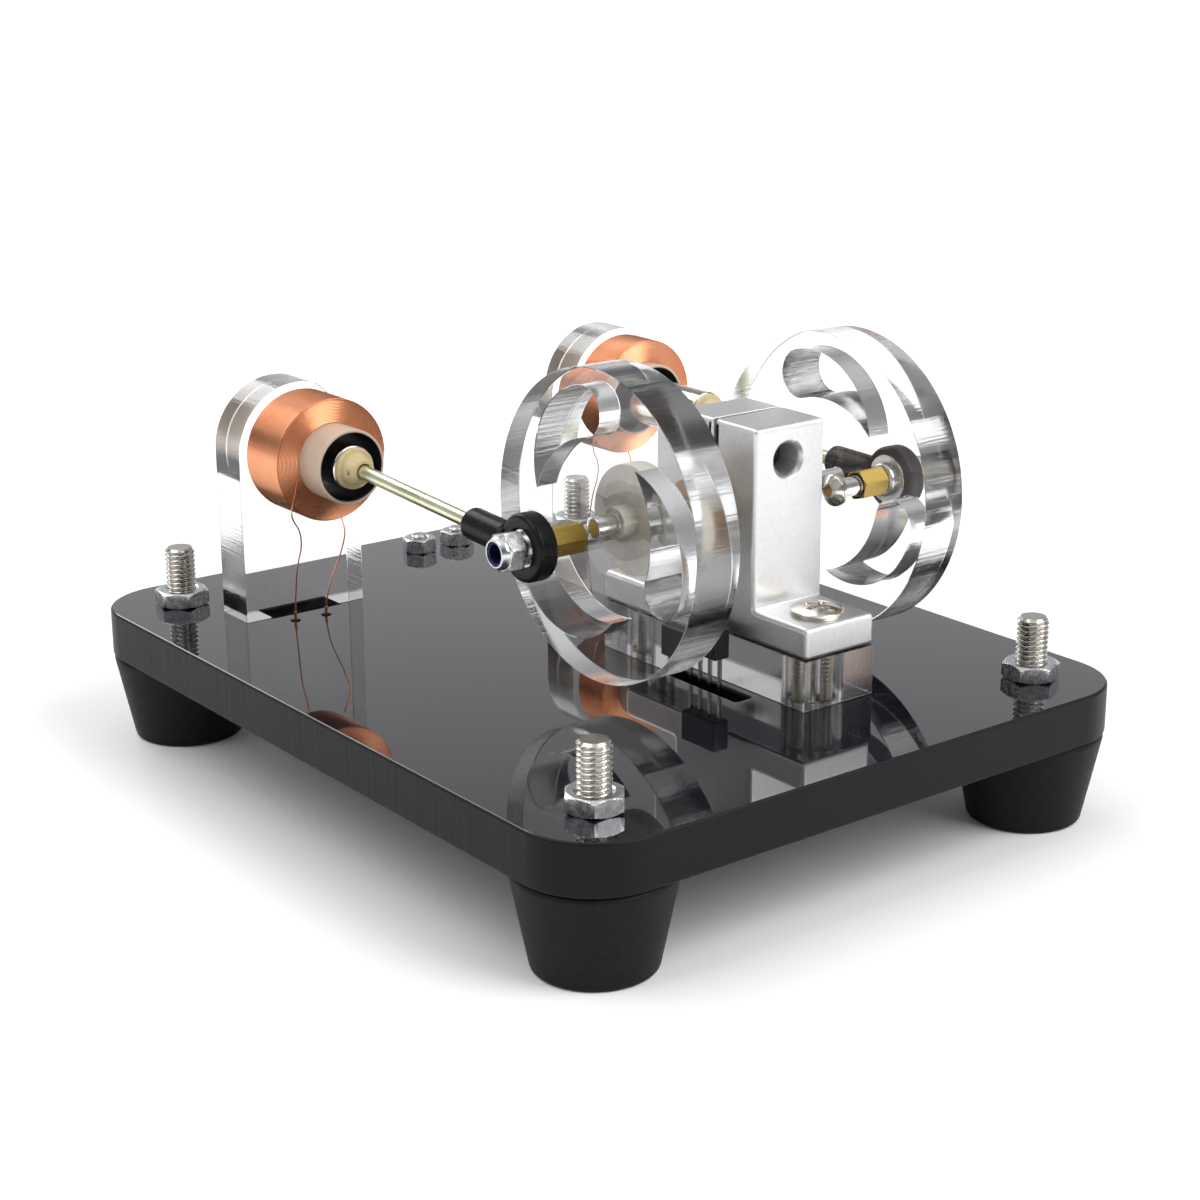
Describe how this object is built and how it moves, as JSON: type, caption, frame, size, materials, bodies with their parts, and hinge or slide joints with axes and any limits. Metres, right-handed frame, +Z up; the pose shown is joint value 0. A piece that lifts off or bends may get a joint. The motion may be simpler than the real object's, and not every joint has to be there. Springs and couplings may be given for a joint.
{
  "type": "demonstration electric motor",
  "caption": "Desk model of a crank motor: coils pull magnet pistons whose rods turn a crankshaft with clear flywheels, on a glossy black plate with rubber feet.",
  "frame": {"origin": "middle of the overall box's bottom, on the floor under the plate's middle", "axes": "+Z up, +X along the crankshaft from the front flywheel to the rear one, +Y along the rods from the crankshaft to the coils"},
  "size_m": [0.11, 0.14, 0.0748],
  "materials": {
    "black_acrylic": "polished faces, sawn matte edge",
    "black_rubber": "matte",
    "stainless": "bright",
    "zinc_plate": "bright zinc",
    "nickel": "nickel plated",
    "ground_steel": "ground",
    "clear_acrylic": "clear, laser-cut edges",
    "white_plastic": "satin white",
    "copper": "enamelled copper wire",
    "aluminium": "bead-blasted satin",
    "bronze": "sintered bronze",
    "brass": "turned",
    "olive_zinc": "green-gold passivated zinc",
    "black_plastic": "moulded, semi-gloss",
    "beige_plastic": "matte",
    "ferrite": "matte",
    "black_oxide": "black oxide",
    "sensor_black": "moulded epoxy",
    "blue_nylon": "satin"
  },
  "bodies": {
    "base": {"base_plate": "black_acrylic", "foot_near": "black_rubber", "foot_left": "black_rubber", "foot_right": "black_rubber", "foot_far": "black_rubber", "foot_bolts": "stainless", "foot_nuts": "zinc_plate", "foot_washers": "zinc_plate", "front_coil_stand": "clear_acrylic", "rear_coil_stand": "clear_acrylic", "front_bobbin": "white_plastic", "rear_bobbin": "white_plastic", "front_winding_core": "copper", "rear_winding_core": "copper", "front_winding": "copper", "rear_winding": "copper", "front_coil_leads": "copper", "rear_coil_leads": "copper", "support_riser": "clear_acrylic", "shaft_support": "aluminium", "clamp_screw": "black_oxide", "support_screws": "nickel", "support_nuts": "zinc_plate", "front_bushing": "bronze", "rear_bushing": "bronze", "hall_sensor": "sensor_black", "hall_leads": "nickel", "terminal_bolts": "stainless", "terminal_nuts": "zinc_plate"},
    "crank": {"crankshaft": "ground_steel", "sensor_disc": "ferrite", "front_flywheel": "clear_acrylic", "rear_flywheel": "clear_acrylic", "crank_screws": "nickel", "front_standoff_nut": "brass", "rear_standoff_nut": "brass"},
    "front_rod_body": {"front_rod": "olive_zinc", "front_rod_end": "black_plastic", "front_bearing": "ground_steel", "front_stud": "stainless", "front_lock_nut": "zinc_plate", "front_lock_insert": "blue_nylon"},
    "rear_rod_body": {"rear_rod": "olive_zinc", "rear_rod_end": "black_plastic", "rear_bearing": "ground_steel", "rear_stud": "stainless", "rear_lock_nut": "zinc_plate", "rear_lock_insert": "blue_nylon"},
    "front_piston": {"front_magnet": "nickel", "front_piston_bush": "beige_plastic", "front_wrist_pin": "nickel"},
    "rear_piston": {"rear_magnet": "nickel", "rear_piston_bush": "beige_plastic", "rear_wrist_pin": "nickel"}
  },
  "joints": [
    {"name": "crank_spin", "type": "hinge", "parent": "base", "child": "crank", "pos_m": [0, -0.0265, 0.051], "axis": [1, 0, 0], "continuous": true},
    {"name": "front_piston_slide", "type": "slide", "parent": "base", "child": "front_piston", "axis": [0, 1, 0], "range_m": [-0.00764, 0.00066]},
    {"name": "rear_piston_slide", "type": "slide", "parent": "base", "child": "rear_piston", "axis": [0, 1, 0], "range_m": [-0.00004, 0.00826]},
    {"name": "front_rod_swing", "type": "hinge", "parent": "front_piston", "child": "front_rod_body", "pos_m": [-0.0286, 0.02249, 0.0513], "axis": [1, 0, 0], "range_deg": [-7.92, 2.54]},
    {"name": "rear_rod_swing", "type": "hinge", "parent": "rear_piston", "child": "rear_rod_body", "pos_m": [0.0422, 0.01839, 0.0513], "axis": [1, 0, 0], "range_deg": [-5.62, 4.1]}
  ]
}
